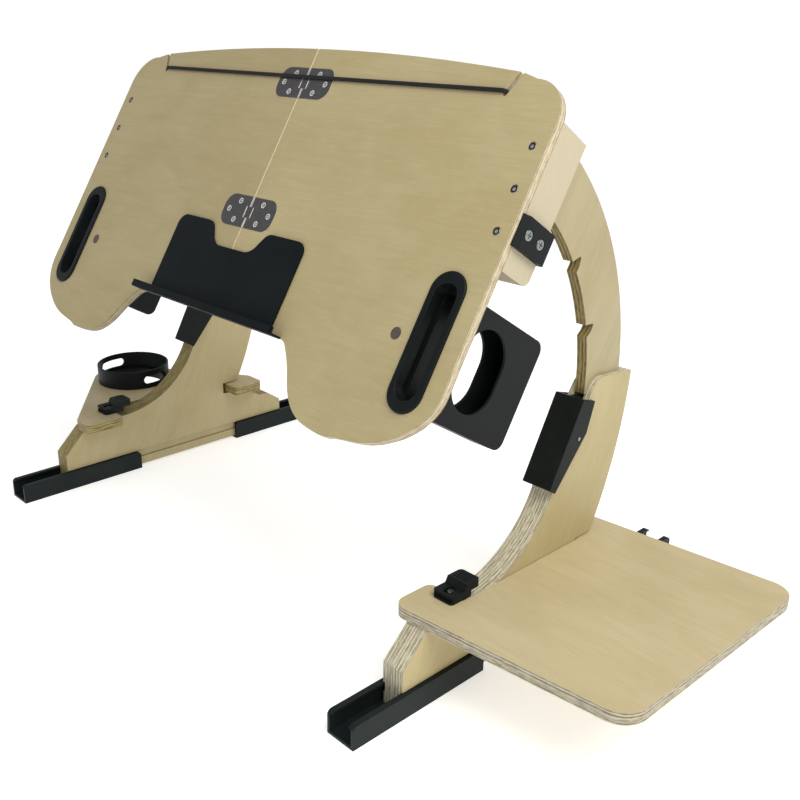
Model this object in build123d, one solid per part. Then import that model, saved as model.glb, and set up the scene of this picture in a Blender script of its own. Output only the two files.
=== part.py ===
from build123d import *

import math
import os

# Over-bed laptop desk: a two-leaf folding plywood desktop carried on two arc
# arms that slide in laminated side legs, with extending foot channels and two
# slide-on side trays.  X runs along the desktop, Y from the user to the rear,
# Z up.  Work coordinates put the seam of the desktop at x = 0 and the front
# edge of the legs at y = 0; the finished model is shifted so that the middle
# of its footprint is the origin.

# ---------------------------------------------------------------- desktop
desk_width = 700.0
desk_ply = 9.0
desk_tilt = 58.66
desk_ref_y = -39.5
desk_ref_z = 200.0
seam_gap = 1.0
top_crown_v = 445.5
top_corner_v = 430.6
corner_r = 39.0
slot_in = (281.3, 408.7)
slot_out = (291.0, 430.4)
slot_width = 4.6

# ---------------------------------------------------------------- legs
leg_x = 328.6
leg_thick = 25.6
cheek_thick = 6.5
leg_bottom = 3.3
leg_front_h = 48.3
leg_length = 364.0
ledge_z = 79.6
toe_y = 80.0
tray_notch_y = 258.5
foot_flange_z = 15.0
foot_neck_z = 25.8
foot_neck_cut = 2.6

# ---------------------------------------------------------------- arc arms
arc_y = 22.0
arc_z = 269.0
arm_r_in = 239.0
arm_r_out = 298.0
arm_thick = 12.0
arm_end_deg = -27.0
notch_degs = (31.2, 13.2, -4.8, -22.8)
lower_travel = 36.0
groove_play = 0.5
catch_swing = 8.0

# ---------------------------------------------------------------- foot channels
chan_width = 35.2
chan_height = 25.0
chan_wall = 3.0
chan_length = 175.0
chan_lip = 3.4
chan_front_y = -65.0
chan_rear_y = 281.0
chan_rear_left_y = 275.6

# ---------------------------------------------------------------- trays
tray_top = 91.8
tray_ply = 12.0
tray_gap = 0.6
right_tray_edge = 554.0
left_tray_edge = -487.0
ring_x = -428.0
ring_y = 172.0
ring_od = 105.0
ring_height = 27.0
ring_wall = 2.6
latch_screw_y = 75.8
latch_travel = 4.5

# ---------------------------------------------------------------- hinges, fittings
hinge_v = (250.3, 404.3)
hinge_length = 90.0
hinge_width = 36.0
hinge_plate = 2.8
hinge_proud = 0.3
pivot_u = 4.2
pivot_w = -1.1
pin_r = 0.9
magnet_at = (272.5, 173.0)
magnet_r = 6.0
screw_u = 334.6
screw_v = (362.5, 322.3, 282.7)
pocket_u = 311.0
pocket_in = 298.5
pocket_out = 327.0
bracket_screw_w = (-17.4, -36.9)
bracket_v = 289.7
cord_wide = 4.0
cord_high = 2.6
cord_w = 1.65
cord_start = 7.0

origin_x = (right_tray_edge + left_tray_edge) / 2
origin_y = (chan_front_y + chan_rear_y + chan_length) / 2
place = Pos(-origin_x, -origin_y, 0)

tilt = math.radians(desk_tilt)
desk = Plane(
    origin=(0, desk_ref_y, desk_ref_z),
    x_dir=(1, 0, 0),
    z_dir=(0, -math.sin(tilt), math.cos(tilt)),
)
leg_in = leg_x - leg_thick / 2
leg_out = leg_x + leg_thick / 2
parts = {}


def rounded(points):
    """Face from (x, y, corner radius) points."""
    face = make_face(Polyline(*[(x, y) for x, y, _ in points], close=True))
    for x, y, radius in points:
        if radius > 0:
            corner = face.vertices().sort_by_distance((x, y, 0))[0]
            face = fillet(corner, radius)
    return face


def stadium(length_v, width_u):
    """Slot shape with its long side along the second axis."""
    return Rot(0, 0, 90) * SlotOverall(length_v, width_u)


def slab_yz(face, x_low, thick):
    """A (y, z) face made into a plate standing across X."""
    return extrude(Plane.YZ.offset(x_low) * face, amount=thick)


def slab_vw(face, u_low, thick):
    """A (v, w) face of the desktop frame made into a plate across u."""
    return extrude(Plane.YZ.offset(u_low) * face, amount=thick)


def slab_uv(face, w_low, thick):
    """A (u, v) face of the desktop frame made into a plate across w."""
    return extrude(Pos(0, 0, w_low) * face, amount=thick)


def polar(radius, degrees):
    """Point on an arc about the arm centre, in (y, z)."""
    a = math.radians(degrees)
    return (arc_y + radius * math.cos(a), arc_z + radius * math.sin(a))


def sector(r_in, r_out, deg_low, deg_high):
    """Ring sector about the arm centre, in (y, z)."""
    mid = (deg_low + deg_high) / 2
    outer = ThreePointArc(polar(r_out, deg_low), polar(r_out, mid), polar(r_out, deg_high))
    inner = ThreePointArc(polar(r_in, deg_high), polar(r_in, mid), polar(r_in, deg_low))
    sides = [
        Line(polar(r_out, deg_high), polar(r_in, deg_high)),
        Line(polar(r_in, deg_low), polar(r_out, deg_low)),
    ]
    return make_face([outer, sides[0], inner, sides[1]])


def vw_of(y, z):
    """Desktop frame coordinates of a point of the side view."""
    a, b = y - desk_ref_y, z - desk_ref_z
    return (a * math.cos(tilt) + b * math.sin(tilt), -a * math.sin(tilt) + b * math.cos(tilt))


def both_sides(name, solid):
    """Keep a right-hand piece and its mirror image."""
    parts[name + "_right"] = solid
    parts[name + "_left"] = mirror(solid, about=Plane.YZ)


# ================================================================ desktop
def desk_half():
    top = ThreePointArc((0, top_crown_v), (slot_out[0] / 2, 441.8), (slot_out[0], top_corner_v))
    to_corner = Line(top @ 1, (desk_width / 2 - corner_r, 425))
    bend = corner_r * math.sqrt(0.5)
    edge_u, edge_v = desk_width / 2 - corner_r, 425 - corner_r
    corner = ThreePointArc(
        to_corner @ 1, (edge_u + bend, edge_v + bend), (desk_width / 2, edge_v)
    )
    side = Line(corner @ 1, (desk_width / 2, 158))
    lobe = Spline(
        side @ 1, (348.6, 122), (336, 100.5), (312, 82), (282, 70.4), (245, 64.6), (213, 64.2),
        tangents=[(0, -1), (-1, 0.12)],
    )
    throat = Spline(
        lobe @ 1, (187, 72.8), (168.5, 90.5), (156, 110), (142, 127), (124, 133.5),
        tangents=[(-1, 0.12), (-1, 0)],
    )
    belly = Line(throat @ 1, (0, 133.5))
    seam = Line(belly @ 1, top @ 0)
    face = make_face([top, to_corner, corner, side, lobe, throat, belly, seam])
    body = slab_uv(face, -desk_ply, desk_ply)
    body -= Pos(0, 255, -5) * Box(seam_gap, 420, 30)
    body = chamfer(body.edges().filter_by(Axis.Y).sort_by_distance((seam_gap / 2, 290, 0))[0], 0.6)
    # cord slot from the top edge
    du, dv = slot_out[0] - slot_in[0], slot_out[1] - slot_in[1]
    run = math.hypot(du, dv)
    lean = math.degrees(math.atan2(dv, du))
    cut = Pos(slot_in[0], slot_in[1], -desk_ply / 2) * Rot(0, 0, lean) * Pos(run / 2 + 4, 0, 0)
    body -= cut * Box(run + 8, slot_width, 30)
    body -= Pos(slot_in[0], slot_in[1], -desk_ply / 2) * Cylinder(slot_width / 2, 30)
    # neck of the side pocket
    body -= Pos(pocket_u, 173.5, -desk_ply / 2) * extrude(stadium(117, 32.6), amount=30, both=True)
    # counterbores for the rail screws, magnet seat
    for v in screw_v:
        body -= Pos(screw_u, v, -desk_ply / 2) * Cylinder(2.2, 30)
        body -= Pos(screw_u, v, -2.3) * Cylinder(4.2, 4.8)
    body -= Pos(magnet_at[0], magnet_at[1], -1.5) * Cylinder(magnet_r + 0.05, 3.02)
    # hinge seats
    for v in hinge_v:
        seat = Pos(0, v) * RectangleRounded(hinge_length + 0.2, hinge_width + 0.2, 14)
        body -= slab_uv(seat, hinge_proud - hinge_plate, 10)
        body -= Pos(0, v, -5) * Box(12.8, 13.6, 30)
        for u, dv in hinge_screws():
            body -= Pos(u, v + dv, -5) * Cylinder(1.5, 30)
    return body


def hinge_screws():
    return ((20, 11), (35, 0), (20, -11))


def hinge_leaf(v):
    face = Pos(0, v) * RectangleRounded(hinge_length, hinge_width, 14)
    leaf = slab_uv(face, hinge_proud - hinge_plate, hinge_plate)
    leaf = leaf & (Pos(seam_gap / 2 + 50, v, 0) * Box(100, 60, 20))
    leaf -= Pos(0, v, 0) * Box(12.8, 13.2, 20)
    leaf -= Pos(pivot_u, v, pivot_w) * Rot(90, 0, 0) * Cylinder(pin_r + 0.05, 26)
    for u, dv in hinge_screws():
        leaf -= Pos(u, v + dv, 0) * Cylinder(1.6, 20)
        leaf -= Pos(u, v + dv, hinge_proud - 0.9) * Cone(1.6, 3.3, 1.82)
    return leaf


def countersunk(radius, shank, length):
    """Countersunk screw, head top at z = 0, cross recess."""
    head = Pos(0, 0, -0.8) * Cone(shank, radius, 1.6)
    body = Pos(0, 0, -length / 2 - 0.7) * Cylinder(shank, length - 1.4)
    recess = Box(radius * 1.05, 0.6, 1.2) + Box(0.6, radius * 1.05, 1.2)
    return head + body - recess


def hinge_link(v):
    block = Pos(0, v, (hinge_proud - 3.6) / 2) * Box(2 * pivot_u, 12.4, 3.6 + hinge_proud)
    for s in (-1, 1):
        end = Pos(s * pivot_u, v, pivot_w) * Rot(90, 0, 0)
        block += end * Cylinder(hinge_proud - pivot_w, 12.4)
        block += end * Cylinder(pin_r, 24)
    return block & (Pos(0, v, -1.8) * Box(40, 30, 4.2))


def rail_block():
    face = rounded([(252, -desk_ply, 0), (391, -desk_ply, 0), (391, -50, 0), (252, -50, 9)])
    block = slab_vw(face, 313.6, 36.2)
    slot = slab_vw(sector_vw(arm_r_in - 0.1, arm_r_out + 0.1), leg_x - arm_thick / 2, arm_thick)
    slot &= Pos(leg_x, 340, -40) * Box(60, 120, 36)
    block -= slot
    for v in screw_v:
        block -= Pos(screw_u, v, -15) * Cylinder(2.05, 14)
    for w in bracket_screw_w:
        block -= Pos(346, bracket_v, w) * Rot(0, 90, 0) * Cylinder(1.8, 22)
    return block


def sector_vw(r_in, r_out):
    """Ring sector of the arm head in (v, w)."""
    cv, cw = vw_of(arc_y, arc_z)
    low, high = -30, 2

    def at(radius, degrees):
        a = math.radians(degrees)
        return (cv + radius * math.cos(a), cw + radius * math.sin(a))

    mid = (low + high) / 2
    outer = ThreePointArc(at(r_out, low), at(r_out, mid), at(r_out, high))
    inner = ThreePointArc(at(r_in, high), at(r_in, mid), at(r_in, low))
    return make_face([outer, Line(outer @ 1, inner @ 0), inner, Line(inner @ 1, outer @ 0)])


def notch(degrees):
    """Hooked notch in the inner edge of the arm, flared at its mouth."""
    mouth = [
        polar(arm_r_in - 3, degrees + 1.7),
        polar(arm_r_in + 1.5, degrees + 1.6),
        polar(arm_r_in + 9.6, degrees + 1.05),
        polar(arm_r_in + 11.3, degrees + 0.25),
        polar(arm_r_in + 6, degrees - 0.9),
        polar(arm_r_in + 1, degrees - 1.45),
        polar(arm_r_in - 3, degrees - 1.7),
    ]
    return make_face(Polyline(*mouth, close=True)) + Pos(*polar(arm_r_in + 9.5, degrees + 0.55)) * Circle(2.2)


def arm():
    face = sector(arm_r_in, arm_r_out, arm_end_deg, 60)
    # level cut at the tail, so that it clears the floor when fully lowered
    a = math.radians(lower_travel)
    low_y, low_z = polar(arm_r_out, arm_end_deg - lower_travel)
    dy, dz = low_y - 20 - arc_y, 12.0 - arc_z
    tail = (arc_y + dy * math.cos(a) - dz * math.sin(a), arc_z + dy * math.sin(a) + dz * math.cos(a))
    face -= Pos(*tail) * Rot(0, 0, lower_travel) * Pos(0, -30) * Rectangle(200, 60)
    for degrees in notch_degs:
        face -= notch(degrees)
    body = slab_yz(face, leg_x - arm_thick / 2, arm_thick)
    # square head seated in the rail block
    keep = desk.location * (Pos(leg_x, 250, -222) * Box(60, 900, 400))
    return body & keep


def bracket():
    top, low = -5.5, -52.2
    plate = Pos(353, bracket_v, (top + low) / 2) * Box(6, 29.5, top - low)
    edge = plate.edges().filter_by(Axis.Y).sort_by_distance((356, bracket_v, top))[0]
    plate = chamfer(edge, 5)
    edge = plate.edges().filter_by(Axis.Y).sort_by_distance((356, bracket_v, low))[0]
    plate = fillet(edge, 1.5)
    plate += Pos(345.5, bracket_v, (low - 50) / 2) * Box(9, 29.5, -50 - low)
    for w in bracket_screw_w:
        plate -= Pos(353, bracket_v, w) * Rot(0, 90, 0) * Cylinder(2.0, 20)
        plate -= Pos(354.9, bracket_v, w) * Rot(0, 90, 0) * Cylinder(5.5, 2.3)
    return plate


def pan_screw():
    """Bracket screw, head outward along +Z."""
    body = Pos(0, 0, -7) * Cylinder(1.8, 14)
    head = Pos(0, 0, 1.1) * Cylinder(5.3, 2.2)
    head = fillet(head.edges().sort_by(Axis.Z)[-1], 1.2)
    recess = Pos(0, 0, 1.8) * (Box(5.6, 1.1, 1.8) + Box(1.1, 5.6, 1.8))
    return head + body - recess


def socket_screw():
    """Rail screw, head top at z = 0."""
    head = Pos(0, 0, -2.1) * Cylinder(3.9, 4.2)
    head = chamfer(head.edges().sort_by(Axis.Z)[-1], 0.5)
    body = Pos(0, 0, -11.5) * Cylinder(1.95, 17)
    return head + body - Pos(0, 0, -0.9) * extrude(RegularPolygon(2.0, 6), amount=2)


def side_pocket():
    """Through-window pocket under the desktop, with a rimmed mouth in its face."""
    v_low, v_high, low = 112.6, 225.3, -139.0
    v_mid, wall = (v_low + v_high) / 2, 2.6
    width = pocket_out - pocket_in
    u_mid = (pocket_out + pocket_in) / 2
    body = Pos(u_mid, v_mid, (low - desk_ply) / 2) * Box(width, v_high - v_low, -desk_ply - low)
    body = fillet(body.edges().filter_by(Axis.X).group_by(Axis.Z)[0], 11)
    for face in (body.faces().sort_by(Axis.X)[-1], body.faces().sort_by(Axis.X)[0]):
        edges = [e for e in face.edges() if e.center().Z < -desk_ply - 1]
        body = fillet(edges, 3)
    hollow = Pos(u_mid, v_mid, (low + wall - desk_ply + 5) / 2) * Box(
        width - 2 * wall, v_high - v_low - 2 * wall, -desk_ply + 5 - low - wall
    )
    body -= fillet(hollow.edges().filter_by(Axis.X).group_by(Axis.Z)[0], 8.4)
    window = RectangleRounded(80, 62, 30)
    body -= slab_vw(Pos(170.5, -63.5) * window, pocket_u - 30, 60)
    shelf = Pos(pocket_u, 170.5, -desk_ply - 2.5) * Box(33, 117, 5) - hollow
    neck = slab_uv(Pos(pocket_u, 173.5) * stadium(116.4, 32), -desk_ply - 3, desk_ply + 3)
    flange = slab_uv(Pos(pocket_u, 173.5) * stadium(133.5, 40.2), 0, 2.6)
    flange = fillet(flange.edges().group_by(Axis.Z)[-1], 1.8)
    shell = body + neck + flange + shelf
    shell -= slab_uv(Pos(pocket_u, 173.5) * stadium(110.4, 26), -desk_ply - 3, 30)
    rim = shell.edges().group_by(Axis.Z)[-1]
    return chamfer(rim.sort_by(SortBy.LENGTH)[0:4], 0.6)


def bookrest():
    outline = rounded([
        (-113, 132.3, 0), (113, 132.3, 0), (113, 232, 13), (50, 232, 14), (33, 206.5, 20),
        (-33, 206.5, 20), (-50, 232, 14), (-113, 232, 13),
    ])
    plate = slab_uv(outline, 0.35, 2.0)
    shelf = Pos(0, 133.5, 7.7) * Box(262, 2.4, 14.7)
    lip = Pos(0, 136.4, 14.05) * Box(262, 8.2, 2)
    stop = Pos(113.5, 137.4, 15.6) * Box(31, 6.2, 1.4)
    rest = plate + shelf + lip + stop
    return fillet(rest.edges().filter_by(Axis.Z).group_by(Axis.Y)[0], 0.8)


def half_cord():
    """Page elastic from beside the hinge link to the slot, and down to its knot."""
    u, v = slot_in
    path = FilletPolyline((cord_start, v, cord_w), (u, v, cord_w), (u, v, -12), radius=3.0)
    section = Plane(origin=(cord_start, v, cord_w), x_dir=(0, 1, 0), z_dir=(1, 0, 0))
    band = sweep(section * Ellipse(cord_wide / 2, cord_high / 2), path=path)
    return band + Pos(u, v, -13.2) * Sphere(3.6)


half = desk_half()
both_sides("desktop", desk.location * half)
both_sides("rail", desk.location * rail_block())
both_sides("arm", arm())
both_sides("bracket", desk.location * bracket())
both_sides("pocket", desk.location * side_pocket())
for k, v in enumerate(screw_v, 1):
    both_sides(f"rail_screw_{k}", desk.location * (Pos(screw_u, v, -0.2) * socket_screw()))
for k, w in enumerate(bracket_screw_w, 1):
    both_sides(
        f"bracket_screw_{k}",
        desk.location * (Pos(353.8, bracket_v, w) * Rot(0, 90, 0) * pan_screw()),
    )
both_sides("magnet", desk.location * (Pos(magnet_at[0], magnet_at[1], -1.5) * Cylinder(magnet_r, 3)))
for tag, v in zip(("lower", "upper"), hinge_v):
    both_sides(f"hinge_leaf_{tag}", desk.location * hinge_leaf(v))
    screws = [
        Pos(u, v + dv, hinge_proud) * countersunk(3.2, 1.5, 9) for u, dv in hinge_screws()
    ]
    both_sides(f"hinge_screws_{tag}", desk.location * Compound(children=screws))
    parts[f"hinge_link_{tag}"] = desk.location * hinge_link(v)
both_sides("cord", desk.location * half_cord())
parts["bookrest"] = desk.location * bookrest()


# ================================================================ legs
def leg_outline():
    toe = [
        (leg_length, leg_bottom), (0, leg_bottom), (0, leg_front_h), (ledge_z - leg_front_h, ledge_z),
        (toe_y, ledge_z), (toe_y, 85.4),
    ]
    belly = ThreePointArc(toe[-1], (165, 109), (209, 161))
    back_line = Polyline(belly @ 1, (238.5, 223), (262.5, 257.5))
    shoulder = Spline(
        (262.5, 257.5), (267.9, 264.8), (273.8, 269.4), (282, 271.9), tangents=[(0.57, 0.82), (1, -0.08)]
    )
    crown = Line(shoulder @ 1, (333.8, 267.6))
    rear = ThreePointArc(crown @ 1, (318.5, 180), (284, 93.4))
    tail = [
        (284, 93.4), (tray_notch_y, 93.4), (tray_notch_y, 77.4), (296, 74), (325.5, 59.2), (341, 58.9),
        (leg_length, 43.5), (leg_length, leg_bottom),
    ]
    return make_face([Polyline(*toe), belly, back_line, shoulder, crown, rear, Polyline(*tail)])


def groove():
    """Space of the arm inside the core, over its whole travel."""
    low = arm_end_deg - lower_travel - 1.5
    face = sector(arm_r_in - groove_play, arm_r_out + groove_play, low, 12)
    face &= Pos(0, 210) * Rectangle(900, 400)
    # mouth for the catch tooth
    mouth = make_face(Polyline((240, 228), (262, 224), (275, 290), (225, 290), close=True))
    return face + mouth


outline = leg_outline()
cheek_face = outline
core_face = outline - groove()
core_pieces = core_face.faces().sort_by(Axis.X)


def cheek(x_low, outer_sign):
    plate = slab_yz(cheek_face, x_low, cheek_thick)
    face_x = x_low + (cheek_thick if outer_sign > 0 else 0)
    neck_z = (foot_neck_z + foot_flange_z) / 2
    rebate = Pos(face_x, leg_length / 2, neck_z)
    plate -= rebate * Box(2 * foot_neck_cut, leg_length + 20, foot_neck_z - foot_flange_z)
    plate -= Pos(face_x, leg_length / 2, 5) * Box(1.6, leg_length + 20, 2 * foot_flange_z - 9.98)
    plate -= Pos(x_low + cheek_thick / 2, pin_at[0], pin_at[1]) * Rot(0, 90, 0) * Cylinder(2.0, 30)
    return plate


pin_at = (241.3, 215.3)
catch_front = ((198.5, 170.0), (244.5, 256.5))
catch_back = ((264.6, 250.8), (254.0, 218.0), (208.0, 164.2))
both_sides("leg_cheek_outer", cheek(leg_out - cheek_thick, 1))
both_sides("leg_cheek_inner", cheek(leg_in, -1))
core_t = leg_thick - 2 * cheek_thick
pin_hole = Pos(leg_x, pin_at[0], pin_at[1]) * Rot(0, 90, 0) * Cylinder(2.0, 60)
for tag, piece in zip(("front", "rear"), (core_pieces[0], core_pieces[-1])):
    both_sides(f"leg_core_{tag}", slab_yz(piece, leg_in + cheek_thick, core_t) - pin_hole)
both_sides("catch_pin", Pos(leg_x, pin_at[0], pin_at[1]) * Rot(0, 90, 0) * Cylinder(2.0, 36.4))


# ================================================================ rocker catches
def swing_room():
    """Side view area behind the front plate of the catch."""
    return make_face(Polyline((199.5, 171), (245.5, 257.5), (300, 270), (300, 150), close=True))


def catch():
    half_w = 17.6
    wall = 4.3
    face = make_face(Polyline(*catch_front, *catch_back, close=True))
    box = slab_yz(face, leg_x - half_w, 2 * half_w)
    box = fillet(box.edges().filter_by(Axis.X), 1.2)
    inner = make_face(Polyline(
        (188.3, 141.4), (202.4, 167.9), (248.4, 254.4), (252, 262), (280, 262), (280, 200), (225, 140),
        close=True,
    ))
    box -= slab_yz(inner, leg_x - half_w + wall, 2 * (half_w - wall))
    tooth = make_face(Polyline(
        (237.8, 246), (240.4, 251.8), (258, 252.2), (264.4, 250.4), (264.4, 247.6), (258, 246),
        close=True,
    ))
    engaged = slab_yz(tooth, leg_x - 5, 10)
    axis = Axis((leg_x, pin_at[0], pin_at[1]), (1, 0, 0))
    box += engaged.rotate(axis, catch_swing) & slab_yz(swing_room(), leg_x - 6, 12)
    bore = Pos(leg_x, pin_at[0], pin_at[1]) * Rot(0, 90, 0) * Cylinder(2.05, 60)
    return box - bore


both_sides("catch", catch())


# ================================================================ foot channels
def channel(y_start):
    section = Rectangle(chan_width, chan_height)
    section -= Pos(0, chan_wall) * Rectangle(chan_width - 2 * chan_wall, chan_height)
    lips = Pos(0, chan_height / 2 - 1.5) * (
        Rectangle(chan_width, 3) - Rectangle(chan_width - 2 * chan_wall - 2 * chan_lip, 4)
    )
    rail = extrude(Plane.XZ * (section + lips), amount=-chan_length)
    rail = Pos(leg_x, y_start, chan_height / 2) * rail
    for x in (leg_x - chan_width / 2, leg_x + chan_width / 2):
        for y in (y_start, y_start + chan_length):
            corner = rail.edges().filter_by(Axis.X).sort_by_distance((x, y, chan_height))[0]
            rail = fillet(corner, 5)
    return rail


both_sides("channel_front", channel(chan_front_y))
parts["channel_rear_right"] = channel(chan_rear_y)
parts["channel_rear_left"] = mirror(channel(chan_rear_left_y), about=Plane.YZ)


# ================================================================ trays
def tray_right():
    face = rounded([
        (298, 26.5, 14), (right_tray_edge - 4, 47.6, 26), (right_tray_edge + 0.36, 336.4, 24), (289, 316, 9),
        (289, 263.5, 5), (leg_x + arm_thick, 263.5, 0), (leg_x + arm_thick, 260, 0),
        (leg_out + tray_gap, 260, 0), (leg_out + tray_gap, 79, 0), (298, 79, 8),
    ])
    return extrude(Pos(0, 0, tray_top - tray_ply) * face, amount=tray_ply)


def tray_left():
    face = rounded([
        (-leg_x - arm_thick, 263.5, 0), (-289, 263.5, 5), (-289, 312.5, 9), (-325, 313, 10),
        (left_tray_edge, 200, 24),
        (left_tray_edge, 140, 24), (-325, 24.5, 12), (-294, 24.5, 8), (-294, 79, 6),
        (-leg_out - tray_gap, 79, 0), (-leg_out - tray_gap, 260, 0), (-leg_x - arm_thick, 260, 0),
    ])
    board = extrude(Pos(0, 0, tray_top - tray_ply) * face, amount=tray_ply)
    return board - Pos(ring_x, ring_y, tray_top) * Cylinder(ring_od / 2 - 7, 60)


def cup_ring():
    ring = Cylinder(ring_od / 2, ring_height) - Cylinder(ring_od / 2 - ring_wall, ring_height)
    ring += Pos(0, 0, -ring_height / 2 + 1) * Cylinder(ring_od / 2, 2)
    # skirt through the hole of the tray
    skirt = ring_od / 2 - 7.2
    ring += Pos(0, 0, -ring_height / 2 - 5.5) * Cylinder(skirt, 11.4)
    ring -= Pos(0, 0, -ring_height / 2) * Cylinder(skirt - 2, 30)
    window = Plane.YZ * SlotOverall(44, 12.5)
    for degrees in (12, 192):
        ring -= Rot(0, 0, degrees) * Pos(ring_od / 2 - 14, 0, -0.5) * extrude(window, amount=30)
    ring = fillet(ring.edges().filter_by(GeomType.CIRCLE).group_by(Axis.Z)[-1], 0.9)
    return Pos(ring_x, ring_y, tray_top + ring_height / 2) * ring


def latch():
    """Sliding block that laps over the front of the leg: low step with the screw, raised back."""
    base = tray_top + 0.2
    side = [
        (63, base), (91, base), (91, 98.6), (104, 98.6), (104, 106.4), (84.8, 106.4), (81.4, 100.2),
        (64, 100.2), (64, 98.4), (65.6, 97.8), (65.6, 94.8), (63, 94.2),
    ]
    block = slab_yz(make_face(Polyline(*side, close=True)), leg_x - 13, 26)
    plan = Pos(leg_x, 83.5) * RectangleRounded(25.6, 41, 4.5)
    block &= extrude(Pos(0, 0, tray_top) * plan, amount=20)
    for y in (89, 92.5, 96, 99.5):
        block -= Pos(leg_x, y, 106.4) * Box(17, 1.3, 1.0)
    shank = Pos(leg_x, latch_screw_y - latch_travel / 2, tray_top)
    block -= shank * extrude(stadium(4.4 + latch_travel, 4.4), amount=30)
    return block - shank * Pos(0, 0, 4.4) * extrude(stadium(8.4 + latch_travel, 8.4), amount=10)


def latch_screw():
    body = Pos(0, 0, -7) * Cylinder(1.9, 14)
    head = Pos(0, 0, 1.1) * Cylinder(3.8, 2.2)
    head = fillet(head.edges().sort_by(Axis.Z)[-1], 1.0)
    return head + body - Pos(0, 0, 1.9) * (Box(4.2, 0.9, 1.4) + Box(0.9, 4.2, 1.4))


both_sides("latch", latch())
both_sides("latch_screw", Pos(leg_x, latch_screw_y, tray_top + 4.5) * latch_screw())
screw_hole = Pos(leg_x, latch_screw_y, tray_top) * Cylinder(1.95, 60)
parts["tray_right"] = tray_right() - screw_hole
parts["tray_left"] = tray_left() - mirror(screw_hole, about=Plane.YZ)
parts["cup_ring"] = cup_ring()


# ================================================================ output
os.makedirs("parts", exist_ok=True)
for name, shape in parts.items():
    export_step(place * shape, f"parts/{name}.step")
print(len(parts), "nodes")
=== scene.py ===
import math

import bpy
from mathutils import Matrix, Vector


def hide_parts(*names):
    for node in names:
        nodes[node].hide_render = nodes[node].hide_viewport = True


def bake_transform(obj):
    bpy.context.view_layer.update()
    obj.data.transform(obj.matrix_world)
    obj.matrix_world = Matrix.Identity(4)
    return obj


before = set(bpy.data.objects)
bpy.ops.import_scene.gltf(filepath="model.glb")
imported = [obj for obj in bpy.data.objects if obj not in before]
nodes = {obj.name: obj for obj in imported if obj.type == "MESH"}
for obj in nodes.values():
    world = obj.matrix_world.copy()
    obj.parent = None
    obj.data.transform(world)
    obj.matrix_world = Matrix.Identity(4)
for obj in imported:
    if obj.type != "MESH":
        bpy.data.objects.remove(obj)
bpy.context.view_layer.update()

SIDES = ("left", "right")
X_AXIS = (1, 0, 0)
DOWN = (0, 0, -1)
LEG_GRAIN = (0, 0.4, 0.92)
ARM_GRAIN = (0, 0.5, 0.86)

# Desktop frame: origin on the seam, u to the right, v up the slope, n out of the writing face.
TILT = math.radians(58.66)
SEAM_X = -0.0335
DESK_O = Vector((SEAM_X, -0.235, 0.2))
DESK_V = Vector((0.0, math.cos(TILT), math.sin(TILT)))
DESK_N = Vector((0.0, -math.sin(TILT), math.cos(TILT)))

# Middles of the two hinges along v, and a leaf's screws: u from the seam, v from the hinge's middle. Metres.
HINGE_V = (0.2503, 0.4043)
HINGE_SCREWS = ((0.02, 0.011), (0.035, 0.0), (0.02, -0.011))


def desk_point(u, v, w):
    """Point of the desktop frame, millimetres in, metres out."""
    return DESK_O + Vector((u / 1000, 0, 0)) + DESK_V * (v / 1000) + DESK_N * (w / 1000)


# ------------------------------------------------------------------ camera
CAMERA_PLACE = (0.8371, -0.7282, 0.5974)
CAMERA_TURN = (45.38, 20.55, 1.16)
SENSOR_WIDTH = 36.0
LENS = 43.94


def camera():
    azimuth, elevation, roll = (math.radians(angle) for angle in CAMERA_TURN)
    forward = Vector((
        -math.sin(azimuth) * math.cos(elevation),
        math.cos(azimuth) * math.cos(elevation),
        -math.sin(elevation),
    ))
    right = Vector((math.cos(azimuth), math.sin(azimuth), 0))
    up = right.cross(forward)
    rolled_right = right * math.cos(roll) + up * math.sin(roll)
    rolled_up = -right * math.sin(roll) + up * math.cos(roll)
    data = bpy.data.cameras.new("camera")
    data.sensor_width = SENSOR_WIDTH
    data.lens = LENS
    cam = bpy.data.objects.new("camera", data)
    cam.matrix_world = Matrix((rolled_right, rolled_up, -forward)).transposed().to_4x4()
    cam.location = CAMERA_PLACE
    bpy.context.scene.collection.objects.link(cam)
    bpy.context.scene.camera = cam


# ------------------------------------------------------------------ colours
def rgb(r, g, b):
    """8-bit display colour to linear."""
    return tuple((c / 255 / 12.92) if c <= 10 else ((c / 255 + 0.055) / 1.055) ** 2.4 for c in (r, g, b))


def darker(color, factor):
    return tuple(c * factor for c in color)


def tinted(color, factors):
    return tuple(c * factor for c, factor in zip(color, factors))


def lifted(color, factor, floor):
    """Brighter colour that is never quite black."""
    return tuple(c * factor + floor for c in color)


def opaque(grey):
    return (grey, grey, grey, 1.0)


# ------------------------------------------------------------------ shader kit
BEVEL_SAMPLES = 4


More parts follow.
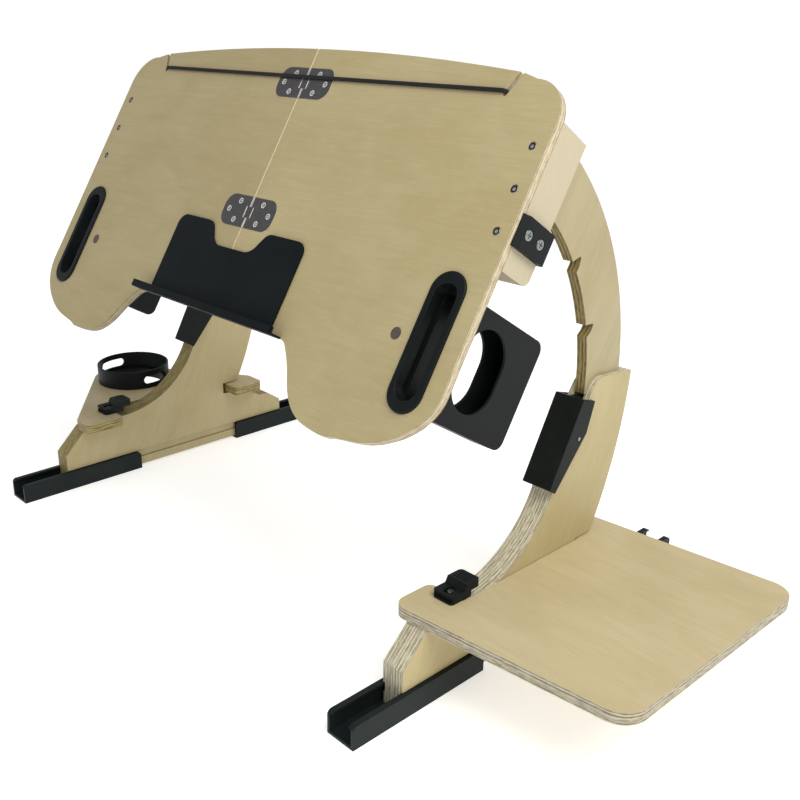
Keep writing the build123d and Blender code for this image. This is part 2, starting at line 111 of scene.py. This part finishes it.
class Tree:
    """Short names for the few shader nodes that the materials use."""

    def __init__(self, name):
        self.mat = bpy.data.materials.new(name)
        self.mat.use_nodes = True
        self.nodes = self.mat.node_tree.nodes
        self.links = self.mat.node_tree.links
        self.shader = self.nodes["Principled BSDF"]
        coords = self.nodes.new("ShaderNodeTexCoord")
        self.point = coords.outputs["Object"]
        self.normal = coords.outputs["Normal"]

    def put(self, socket, value):
        if isinstance(value, bpy.types.NodeSocket):
            self.links.new(value, socket)
        else:
            socket.default_value = value

    def math(self, kind, a, b=None, clamp=False):
        node = self.nodes.new("ShaderNodeMath")
        node.operation = kind
        node.use_clamp = clamp
        for socket, value in zip(node.inputs, (a, b)):
            if value is not None:
                self.put(socket, value)
        return node.outputs[0]

    def dot(self, a, b):
        node = self.nodes.new("ShaderNodeVectorMath")
        node.operation = "DOT_PRODUCT"
        self.put(node.inputs[0], a)
        self.put(node.inputs[1], tuple(b))
        return node.outputs["Value"]

    def vector(self, x, y, z):
        node = self.nodes.new("ShaderNodeCombineXYZ")
        for socket, value in zip(node.inputs, (x, y, z)):
            self.put(socket, value)
        return node.outputs[0]

    def scaled(self, a, factor):
        return self.math("MULTIPLY", a, factor)

    def facing(self, axis):
        """How squarely the surface faces along an axis, either way: 1 square on, 0 side on."""
        return self.math("ABSOLUTE", self.dot(self.normal, axis))

    def seam_distance(self):
        """Distance from the seam's plane."""
        return self.math("ABSOLUTE", self.math("SUBTRACT", self.dot(self.point, X_AXIS), SEAM_X))

    def noise(self, vector, scale=1.0, detail=2.0, rough=0.5, distortion=0.0):
        node = self.nodes.new("ShaderNodeTexNoise")
        self.put(node.inputs["Vector"], vector)
        node.inputs["Scale"].default_value = scale
        node.inputs["Detail"].default_value = detail
        node.inputs["Roughness"].default_value = rough
        node.inputs["Distortion"].default_value = distortion
        return node.outputs["Fac"]

    def figure(self, along, across, along_scale, across_scale, layer, **look):
        """Noise stretched along the grain. layer picks the slice of the noise."""
        place = self.vector(self.scaled(along, along_scale), self.scaled(across, across_scale), layer)
        return self.noise(place, **look)

    def span(self, value, low, high, to_low=0.0, to_high=1.0):
        node = self.nodes.new("ShaderNodeMapRange")
        node.interpolation_type = "SMOOTHSTEP"
        self.put(node.inputs["Value"], value)
        for name, number in (("From Min", low), ("From Max", high), ("To Min", to_low), ("To Max", to_high)):
            node.inputs[name].default_value = number
        return node.outputs["Result"]

    def mix(self, factor, a, b):
        node = self.nodes.new("ShaderNodeMix")
        node.data_type = "RGBA"
        self.put(node.inputs["Factor"], factor)
        for socket, value in ((node.inputs[6], a), (node.inputs[7], b)):
            self.put(socket, value if isinstance(value, bpy.types.NodeSocket) else (*value, 1.0))
        return node.outputs[2]

    def bump(self, height, strength, distance, radius=0.0):
        """Relief, over edges rounded to the radius."""
        node = self.nodes.new("ShaderNodeBump")
        node.inputs["Strength"].default_value = strength
        node.inputs["Distance"].default_value = distance
        self.put(node.inputs["Height"], height)
        if radius:
            bevel = self.nodes.new("ShaderNodeBevel")
            bevel.samples = BEVEL_SAMPLES
            bevel.inputs["Radius"].default_value = radius
            self.links.new(bevel.outputs[0], node.inputs["Normal"])
        return node.outputs[0]

    def finish(self, color, roughness, normal, metallic=0.0, specular=0.5, coat=0.0, coat_roughness=0.1):
        self.put(self.shader.inputs["Base Color"], color)
        self.put(self.shader.inputs["Roughness"], roughness)
        self.put(self.shader.inputs["Normal"], normal)
        self.shader.inputs["Metallic"].default_value = metallic
        self.shader.inputs["Specular IOR Level"].default_value = specular
        self.shader.inputs["Coat Weight"].default_value = coat
        self.shader.inputs["Coat Roughness"].default_value = coat_roughness
        return self.mat


# ------------------------------------------------------------------ plywood
# Plies of a sawn edge from one face to the other: share of the thickness, then tone, where 1 is the pale
# long-grain ply and 0 the dark end-grain ply. Real plies differ, so each kind of board has its own stack.
BOARD = (
    (0.05, 0.9), (0.09, 0.1), (0.13, 1.0), (0.14, 0.15), (0.2, 0.75),
    (0.1, 0.45), (0.12, 0.7), (0.1, 0.25), (0.07, 0.95),
)
THIN = ((0.08, 0.95), (0.1, 0.1), (0.34, 1.0), (0.14, 0.6), (0.22, 0.8), (0.12, 0.3))
CHEEK = ((0.12, 0.8), (0.2, 0.25), (0.26, 1.0), (0.18, 0.3), (0.16, 0.85), (0.08, 0.0))
CORE = (
    (0.03, 0.0), (0.12, 0.8), (0.12, 0.3), (0.16, 0.9), (0.1, 0.35),
    (0.16, 0.85), (0.12, 0.25), (0.15, 0.95), (0.04, 0.0),
)
ARM = ((0.1, 0.8), (0.16, 0.25), (0.2, 0.85), (0.14, 0.2), (0.2, 0.75), (0.12, 0.3), (0.08, 0.8))
PLY_BORDER = 0.012

# Face veneers, light and dark part of the figure, in linear colour.
BIRCH = ((0.492, 0.416, 0.232), (0.446, 0.369, 0.191))
ARM_BIRCH = ((0.413, 0.354, 0.216), (0.375, 0.314, 0.177))
TRAY_BIRCH = ((0.575, 0.487, 0.297), (0.52, 0.432, 0.25))
BEECH = ((0.51, 0.45, 0.325), (0.455, 0.4, 0.275))

# Sawn edges, pale and dark plies. Where a table gives each side its own colours, the left side's are painted
# in shade, and the desktop's right side's are painted lit.
# Olive sawn edge: an edge colour painted in shade, for the left legs and left tray.
SHADED_OLIVE_EDGE = (rgb(172, 158, 106), rgb(96, 82, 42))
DESK_EDGE = {
    "right": (rgb(206, 194, 168), rgb(134, 116, 82)),
    "left": (rgb(162, 150, 122), rgb(104, 92, 66)),
}
LEG_EDGE = {"right": (rgb(220, 213, 190), rgb(134, 125, 98)), "left": SHADED_OLIVE_EDGE}
TRAY_EDGE = {"right": (rgb(202, 194, 172), rgb(122, 112, 90)), "left": SHADED_OLIVE_EDGE}
ARM_EDGE = (rgb(164, 148, 98), rgb(88, 74, 38))
# Painted highlight along the desktop's arris at the seam.
ARRIS_HIGHLIGHT = rgb(238, 224, 180)

DESK_THICK = 0.009
ARM_THICK = 0.012
TRAY_THICK = 0.012
# Solid wood is a stack so thick that the whole block lies within one ply.
SOLID_THICK = 1.6
SOLID_BELOW = 0.5


def veneer_layers(t, along, side, face):
    """Rotary-cut face: cloudy tone, flame figure, flecks, fine fibre lines and pores."""
    cloud = t.figure(along, side, 9, 13, 3.7, detail=3, distortion=0.5)
    flame = t.figure(along, side, 7, 70, 1.3, detail=4, rough=0.6, distortion=1.0)
    fibre = t.figure(along, side, 22, 700, 0.0)
    pore = t.figure(along, side, 240, 1500, 5.0, detail=1)
    fleck = t.figure(along, side, 55, 120, 8.0, distortion=0.4)
    light, dark = face
    veneer = t.mix(t.span(cloud, 0.32, 0.7), light, dark)
    veneer = t.mix(t.span(flame, 0.38, 0.72, 0.0, 0.3), veneer, tinted(dark, (0.9, 0.88, 0.8)))
    veneer = t.mix(t.span(fleck, 0.5, 0.72, 0.0, 0.3), veneer, tinted(light, (1.06, 1.02, 1.02)))
    veneer = t.mix(t.span(fibre, 0.3, 0.8, 0.0, 0.24), veneer, darker(dark, 0.72))
    veneer = t.mix(t.span(pore, 0.62, 0.78, 0.0, 0.3), veneer, darker(dark, 0.55))
    return veneer, flame, fibre


def ply_tones(t, level, plies):
    """Tone of the ply at a level of the stack, with soft borders between the plies."""
    ramp = t.nodes.new("ShaderNodeValToRGB")
    elements = ramp.color_ramp.elements
    elements[0].color = opaque(plies[0][1])
    elements[1].color = opaque(plies[-1][1])
    place = 0.0
    for share, tone in plies:
        elements.new(place + PLY_BORDER).color = opaque(tone)
        elements.new(place + share - PLY_BORDER).color = opaque(tone)
        place += share
    t.put(ramp.inputs["Fac"], level)
    return ramp.outputs["Color"]


def sawn_layers(t, along, side, depth, thick, plies, edge, glue_line):
    """Sawn edge: the stack of plies, broken up by streaks, patches and pores, with dark glue lines."""
    pale, dark = edge
    wobble = t.figure(along, side, 14, 14, 9.0, detail=3)
    level = t.math("ADD", t.math("DIVIDE", depth, thick), t.span(wobble, 0.2, 0.8, -0.03, 0.03))
    tone = ply_tones(t, level, plies)
    streak = t.figure(along, side, 60, 60, t.scaled(depth, 1500), detail=3, rough=0.65)
    patch = t.figure(along, side, 120, 120, t.scaled(depth, 500))
    speck = t.figure(along, side, 800, 800, t.scaled(depth, 900))
    tone = t.math("ADD", tone, t.span(streak, 0.25, 0.75, -0.42, 0.4), clamp=True)
    tone = t.math("ADD", tone, t.span(patch, 0.25, 0.75, -0.3, 0.26), clamp=True)
    sawn = t.mix(tone, dark, pale)
    sawn = t.mix(t.span(speck, 0.45, 0.75, 0.0, 0.3), sawn, darker(dark, 0.7))
    part = t.math("FRACT", t.scaled(level, len(plies) / 2))
    line = t.math("ABSOLUTE", t.math("SUBTRACT", part, 0.5))
    sawn = t.mix(t.span(line, 0.06, 0.0, 0.0, glue_line), sawn, darker(dark, 0.5))
    return sawn, streak, tone


def plywood(name, axis, low, thick, plies, grain, face, edge, seed, glue_line=0.5, arris=False):
    """Plywood. axis is the ply normal, low and thick its lowest plane and thickness along it."""
    t = Tree(name)
    axis = Vector(axis).normalized()
    grain = Vector(grain).normalized()
    depth = t.math("SUBTRACT", t.dot(t.point, axis), low)
    along = t.math("ADD", t.dot(t.point, grain), seed)
    side = t.dot(t.point, axis.cross(grain))
    veneer, flame, fibre = veneer_layers(t, along, side, face)
    sawn, streak, tone = sawn_layers(t, along, side, depth, thick, plies, edge, glue_line)
    is_edge = t.span(t.facing(axis), 0.8, 0.6)
    color = t.mix(is_edge, veneer, sawn)
    if arris:
        # painted highlight: a pale line along the arris of the seam
        beside_seam = t.span(t.seam_distance(), 0.0016, 0.0011)
        near_face = t.span(depth, 0.0015, 0.0008)
        broken = t.math("MULTIPLY", beside_seam, near_face)
        color = t.mix(t.scaled(broken, 0.55), color, ARRIS_HIGHLIGHT)
    edge_relief = t.math("MULTIPLY", is_edge, t.math("ADD", t.scaled(streak, 1.6), tone))
    relief = t.math("ADD", t.scaled(fibre, 0.5), edge_relief)
    rough = t.math("ADD", t.span(flame, 0.2, 0.8, 0.42, 0.52), t.scaled(is_edge, 0.18))
    normal = t.bump(relief, 0.12, 0.0003, 0.0005)
    return t.finish(color, rough, normal, specular=0.35, coat=0.05, coat_roughness=0.35)


# ------------------------------------------------------------------ plastics and metals
HINGE_STEEL = (0.13, 0.125, 0.127)


def moulded(name, color, specular, rough=0.42, grain=1400, relief=0.08):
    """Black moulded plastic or powder coat: fine spark texture, slight handling sheen."""
    t = Tree(name)
    fine = t.noise(t.point, grain, rough=0.6)
    broad = t.noise(t.point, 18, detail=3)
    scuff_x = t.dot(t.point, (60, 20, 0))
    scuff_y = t.dot(t.point, (0, 500, 90))
    scuff_z = t.dot(t.point, (0, 90, 500))
    scuff = t.noise(t.vector(scuff_x, scuff_y, scuff_z))
    shade = t.mix(t.span(broad, 0.3, 0.7), color, lifted(color, 1.3, 0.001))
    shade = t.mix(t.span(scuff, 0.62, 0.8, 0.0, 0.25), shade, lifted(color, 2.0, 0.004))
    broad_rough = t.span(broad, 0.25, 0.75, rough - 0.05, rough + 0.06)
    roughness = t.math("ADD", broad_rough, t.span(fine, 0.3, 0.7, 0, 0.05))
    return t.finish(shade, roughness, t.bump(fine, relief, 0.0002, 0.0006), specular=specular)


def metal(name, color, rough, lines, metallic=1.0):
    """Brushed or plated metal with fine lines along x."""
    t = Tree(name)
    brushed = Vector(X_AXIS)
    across = Vector((0.13, 0.61, 0.78)).cross(brushed).normalized()
    brush = t.figure(t.dot(t.point, brushed), t.dot(t.point, across), 60, lines, 0.0, detail=3, rough=0.6)
    tone = t.noise(t.point, 90, detail=3)
    shade = t.mix(t.span(brush, 0.3, 0.7), color, darker(color, 0.72))
    shade = t.mix(t.span(tone, 0.35, 0.75, 0.0, 0.3), shade, darker(color, 0.6))
    roughness = t.span(tone, 0.3, 0.7, rough - 0.06, rough + 0.08)
    return t.finish(shade, roughness, t.bump(brush, 0.05, 0.0001, 0.0003), metallic=metallic)


def hinge_screw_radius(t):
    """Distance from the axis of the nearest hinge screw."""
    u = t.seam_distance()
    v = t.math("SUBTRACT", t.dot(t.point, DESK_V), DESK_O.dot(DESK_V))
    nearest = None
    for middle in HINGE_V:
        for screw_u, screw_v in HINGE_SCREWS:
            along = t.math("POWER", t.math("SUBTRACT", u, screw_u), 2.0)
            up = t.math("POWER", t.math("SUBTRACT", v, middle + screw_v), 2.0)
            radius = t.math("SQRT", t.math("ADD", along, up))
            nearest = radius if nearest is None else t.math("MINIMUM", nearest, radius)
    return nearest


def screw_head(name, color, highlight, floor, metallic, ring=None):
    """Screw in the desktop, with painted highlights at its rim, in the recess below floor and outside the
    ring radius.
    """
    t = Tree(name)
    height = t.math("SUBTRACT", t.dot(t.point, DESK_N), DESK_O.dot(DESK_N))
    rim = t.span(t.facing(DESK_N), 0.9, 0.7)
    recess = t.span(height, floor, floor - 0.0002)
    tone = t.noise(t.point, 1600)
    # painted highlights: rim, recess and outer ring lighter than the head
    bright = t.math("MAXIMUM", t.scaled(rim, 0.75), recess)
    if ring:
        bright = t.math("MAXIMUM", bright, t.span(hinge_screw_radius(t), ring - 0.0003, ring))
    shade = t.mix(t.math("MULTIPLY", bright, t.span(tone, 0.2, 0.6, 0.7, 1.0)), color, highlight)
    return t.finish(shade, t.span(tone, 0.3, 0.7, 0.3, 0.45), t.bump(tone, 0.05, 0.0001), metallic=metallic)


def highlit_steel(name, highlight, seam=0.0):
    """Dark plated hinge steel, with painted highlights on its edges and within the distance seam of the seam.
    """
    t = Tree(name)
    fine_lines = t.vector(t.dot(t.point, (60, 0, 0)), t.dot(t.point, DESK_V * 1800), 0.0)
    brush = t.noise(fine_lines, detail=3, rough=0.6)
    tone = t.noise(t.point, 120, detail=3)
    # painted highlight on the edge walls, which face away from the writing face
    bright = t.span(t.facing(DESK_N), 0.93, 0.75)
    # painted highlight in a strip beside the seam
    if seam:
        bright = t.math("MAXIMUM", bright, t.span(t.seam_distance(), seam + 0.0002, seam))
    shade = t.mix(t.span(brush, 0.3, 0.7), HINGE_STEEL, darker(HINGE_STEEL, 0.75))
    shade = t.mix(t.span(tone, 0.35, 0.75, 0.0, 0.35), shade, darker(HINGE_STEEL, 0.6))
    shade = t.mix(t.math("MULTIPLY", bright, t.span(tone, 0.25, 0.6, 0.6, 1.0)), shade, highlight)
    return t.finish(shade, t.span(tone, 0.3, 0.7, 0.37, 0.5), t.bump(brush, 0.08, 0.0001), metallic=0.75)


def woven():
    """Round braided elastic: two families of fine diagonal ribs."""
    t = Tree("elastic_braid")
    ribs_along = t.scaled(t.dot(t.point, X_AXIS), 2600)
    ribs_around = t.scaled(t.math("ARCTAN2", t.dot(t.normal, DESK_N), t.dot(t.normal, DESK_V)), 4)
    one = t.math("SINE", t.math("ADD", ribs_along, ribs_around))
    two = t.math("SINE", t.math("SUBTRACT", ribs_along, ribs_around))
    rib = t.math("MAXIMUM", one, two)
    shade = t.mix(t.span(rib, -0.2, 1.0), (0.002, 0.002, 0.002), (0.016, 0.016, 0.017))
    return t.finish(shade, t.span(rib, -1, 1, 0.9, 0.7), t.bump(rib, 0.5, 0.0002), specular=0.3)


# ------------------------------------------------------------------ finishes on the CAD nodes
def paint(node, material):
    obj = nodes[node]
    obj.data.materials.clear()
    obj.data.materials.append(material)


def low_of(node, axis):
    """Lowest position of a node's points along an axis."""
    axis = Vector(axis)
    return min(v.co.dot(axis) for v in nodes[node].data.vertices)


def board(node, axis, thick, plies, grain, wood="birch", below=0.0, **look):
    """Paints a node as wood. Its plies stack along axis, from the distance below under its lowest point."""
    low = low_of(node, axis) - below
    paint(node, plywood(f"{wood}_{node}", axis, low, thick, plies, grain, **look))


def legs(side, seed):
    """Laminated leg: a cheek's first ply lies against the core, and a core's first ply on the inner side."""
    # The left legs' faces are painted darker than the right: painted shade.
    face = [darker(color, 1.0 if side == "right" else 0.9) for color in BIRCH]
    layers = (
        ("leg_cheek_inner", CHEEK), ("leg_cheek_outer", CHEEK),
        ("leg_core_front", CORE), ("leg_core_rear", CORE),
    )
    for tag, stack in layers:
        node = f"{tag}_{side}"
        sign = -1 if (tag == "leg_cheek_inner") == (side == "right") else 1
        thick = -low_of(node, (-sign, 0, 0)) - low_of(node, (sign, 0, 0))
        board(node, (sign, 0, 0), thick, stack, LEG_GRAIN,
              face=face, edge=LEG_EDGE[side], seed=0.7 * len(tag) + seed)


def timber():
    for k, side in enumerate(SIDES):
        # The left desktop's face is painted darker than the right: painted shade for the light falling off to
        # the left.
        face = [darker(color, 0.96 if side == "right" else 0.86) for color in BIRCH]
        board(f"desktop_{side}", -DESK_N, DESK_THICK, THIN, X_AXIS,
              face=face, edge=DESK_EDGE[side], seed=1.7 * k, glue_line=0.2, arris=True)
        board(f"rail_{side}", DESK_N, SOLID_THICK, THIN, DESK_V, wood="beech", below=SOLID_BELOW,
              face=BEECH, edge=BEECH, seed=2.1 + k, glue_line=0.0)
        board(f"arm_{side}", X_AXIS, ARM_THICK, ARM, ARM_GRAIN,
              face=ARM_BIRCH, edge=ARM_EDGE, seed=3.3 + k)
        legs(side, k)
        board(f"tray_{side}", DOWN, TRAY_THICK, BOARD, X_AXIS,
              face=TRAY_BIRCH, edge=TRAY_EDGE[side], seed=5.0 + k)


def fittings():
    satin = moulded("black_satin", (0.0055, 0.0075, 0.008), specular=0.13)
    dark = moulded("black_catch", (0.006, 0.008, 0.0078), specular=0.11, rough=0.38)
    channel = moulded("black_channel", (0.0075, 0.0115, 0.012), specular=0.14, rough=0.4, grain=900)
    sheet = moulded(
        "black_powder", (0.0045, 0.007, 0.0085), specular=0.08, rough=0.4, grain=2200, relief=0.05,
    )
    steel = metal("zinc_screw", (0.3, 0.335, 0.335), 0.34, lines=900)
    nickel = metal("magnet_face", (0.125, 0.1, 0.088), 0.5, lines=1200, metallic=0.4)
    hinge_screw = screw_head(
        "hinge_screw", (0.13, 0.13, 0.132), (0.95, 0.95, 0.93), floor=0.0001, metallic=0.2, ring=0.0026,
    )
    rail_screw = screw_head(
        "socket_screw", (0.022, 0.024, 0.025), (0.5, 0.52, 0.52), floor=-0.0006, metallic=0.7,
    )
    link = highlit_steel("plated_hinge", (0.7, 0.68, 0.64))
    leaf = highlit_steel("plated_leaf", (0.95, 0.93, 0.9), seam=0.0014)
    sided = (
        (satin, "black_plastic", ("pocket", "bracket", "latch")),
        (dark, "black_plastic", ("catch",)),
        (channel, "black_plastic", ("channel_front", "channel_rear")),
        (steel, "steel", ("bracket_screw_1", "bracket_screw_2", "latch_screw", "catch_pin")),
        (rail_screw, "steel", ("rail_screw_1", "rail_screw_2", "rail_screw_3")),
        (leaf, "hinge_steel", ("hinge_leaf_lower", "hinge_leaf_upper")),
        (hinge_screw, "steel", ("hinge_screws_lower", "hinge_screws_upper")),
        (nickel, "magnet", ("magnet",)),
    )
    for material, slot, names in sided:
        for name in names:
            for side in SIDES:
                paint(f"{name}_{side}", material)
    paint("hinge_link_lower", link)
    paint("hinge_link_upper", link)
    paint("cup_ring", satin)
    paint("bookrest", sheet)


# ------------------------------------------------------------------ page elastic
BAND_HALF_V = 0.0022
BAND_HALF_W = 0.0013
BAND_CORNERS = 16
# The straight part takes the first 58 points of 60 even steps to the slot, and the bend takes the rest.
BAND_STEPS = 60
BAND_STRAIGHT = 58
# Bend into the slot: distance before the slot, then height over the desktop, in millimetres.
BAND_BEND = ((7.3, 1.62), (4.3, 1.4), (2, 0.5), (0.6, -1.0), (0, -3.5), (0, -7), (0, -12))


def band_mesh(name, line, flip):
    """Closed tube with an oval section along a line of points."""
    rings = []
    for k, p in enumerate(line):
        d = (line[min(k + 1, len(line) - 1)] - line[max(k - 1, 0)]).normalized()
        b = d.cross(DESK_V).normalized()
        angles = (2 * math.pi * j / BAND_CORNERS for j in range(BAND_CORNERS))
        rings.append([
            tuple(p + DESK_V * math.cos(a) * BAND_HALF_V + b * math.sin(a) * BAND_HALF_W) for a in angles
        ])
    faces = []
    for k in range(len(rings) - 1):
        this, following = k * BAND_CORNERS, (k + 1) * BAND_CORNERS
        for j in range(BAND_CORNERS):
            n = (j + 1) % BAND_CORNERS
            faces.append((this + j, this + n, following + n, following + j))
    last_ring = (len(rings) - 1) * BAND_CORNERS
    faces.append(tuple(reversed(range(BAND_CORNERS))))
    faces.append(tuple(range(last_ring, last_ring + BAND_CORNERS)))
    if flip:
        faces = [face[::-1] for face in faces]
    mesh = bpy.data.meshes.new(name)
    mesh.from_pydata([p for ring in rings for p in ring], [], faces)
    mesh.polygons.foreach_set("use_smooth", [True] * (len(faces) - 2) + [False] * 2)
    return mesh


def elastic():
    """One band as two meshes that meet over the seam, where they ride on the hinge links."""
    material = woven()
    slot_u, slot_v, high = 282.3, 411.0, 1.65
    for side, sign in (("right", 1), ("left", -1)):
        line = [desk_point(sign * slot_u * k / BAND_STEPS, slot_v, high) for k in range(BAND_STRAIGHT)]
        line += [desk_point(sign * (slot_u - u), slot_v, w) for u, w in BAND_BEND]
        mesh = band_mesh(f"page_elastic_{side}", line, flip=sign > 0)
        mesh.materials.append(material)
        band = bpy.data.objects.new(f"page_elastic_{side}", mesh)
        bpy.context.scene.collection.objects.link(band)
        if sign > 0:
            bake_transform(band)
        else:
            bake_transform(band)
        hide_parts(f"cord_{side}")


# ------------------------------------------------------------------ studio
FLOOR_HALF = 40.0
FLOOR_GLOW = 0.56
FLOOR_TONES = ((0.76, 0.76, 0.76), (0.78, 0.78, 0.78))
WHITE = (1.0, 1.0, 1.0, 1.0)
# Sky strength falls between two heights of the direction, where 0 is level and 1 straight up.
SKY = {"From Min": 0.08, "From Max": 0.2, "To Min": 1.02, "To Max": 0.44}
SUN_ENERGY = 0.5
SUN_ANGLE = math.radians(70)
SUN_TOWARD = (-0.2, 0.1, -1)
KEY_SIZE = 1.3
KEY_ENERGY = 32
KEY_COLOR = (1.0, 0.97, 0.88)
KEY_PLACE = Vector((1.5, -0.2, 1.9))
KEY_AIM = Vector((0.15, 0, 0.2))


def studio_floor(scene):
    s = FLOOR_HALF
    mesh = bpy.data.meshes.new("floor")
    mesh.from_pydata([(-s, -s, 0), (s, -s, 0), (s, s, 0), (-s, s, 0)], [], [(0, 1, 2, 3)])
    floor = bpy.data.objects.new("floor", mesh)
    scene.collection.objects.link(floor)
    t = Tree("studio_floor")
    tone = t.noise(t.point, 3)
    t.shader.inputs["Emission Color"].default_value = WHITE
    t.shader.inputs["Emission Strength"].default_value = FLOOR_GLOW
    color = t.mix(tone, *FLOOR_TONES)
    mesh.materials.append(t.finish(color, 0.8, t.bump(tone, 0.02, 0.0002), specular=0.0))


def sky(scene):
    """White at the horizon, softer overhead."""
    world = bpy.data.worlds.new("studio")
    scene.world = world
    world.use_nodes = True
    tree = world.node_tree
    back = tree.nodes["Background"]
    coords = tree.nodes.new("ShaderNodeTexCoord")
    split = tree.nodes.new("ShaderNodeSeparateXYZ")
    strength = tree.nodes.new("ShaderNodeMapRange")
    strength.interpolation_type = "SMOOTHSTEP"
    for name, number in SKY.items():
        strength.inputs[name].default_value = number
    tree.links.new(coords.outputs["Generated"], split.inputs[0])
    tree.links.new(split.outputs["Z"], strength.inputs["Value"])
    tree.links.new(strength.outputs["Result"], back.inputs["Strength"])
    back.inputs["Color"].default_value = WHITE


def lamp(scene, data, toward):
    """Puts a lamp in the scene, shining along a direction."""
    obj = bpy.data.objects.new(data.name, data)
    obj.rotation_euler = Vector(toward).to_track_quat("-Z", "Y").to_euler()
    scene.collection.objects.link(obj)
    return obj


def studio():
    scene = bpy.context.scene
    scene.view_settings.view_transform = "Standard"
    studio_floor(scene)
    sky(scene)
    sun = bpy.data.lights.new("overhead", "SUN")
    sun.energy = SUN_ENERGY
    sun.angle = SUN_ANGLE
    lamp(scene, sun, SUN_TOWARD)
    key = bpy.data.lights.new("key", "AREA")
    key.shape = "SQUARE"
    key.size = KEY_SIZE
    key.energy = KEY_ENERGY
    key.color = KEY_COLOR
    lamp(scene, key, KEY_AIM - KEY_PLACE).location = KEY_PLACE


camera()
timber()
fittings()
elastic()
studio()
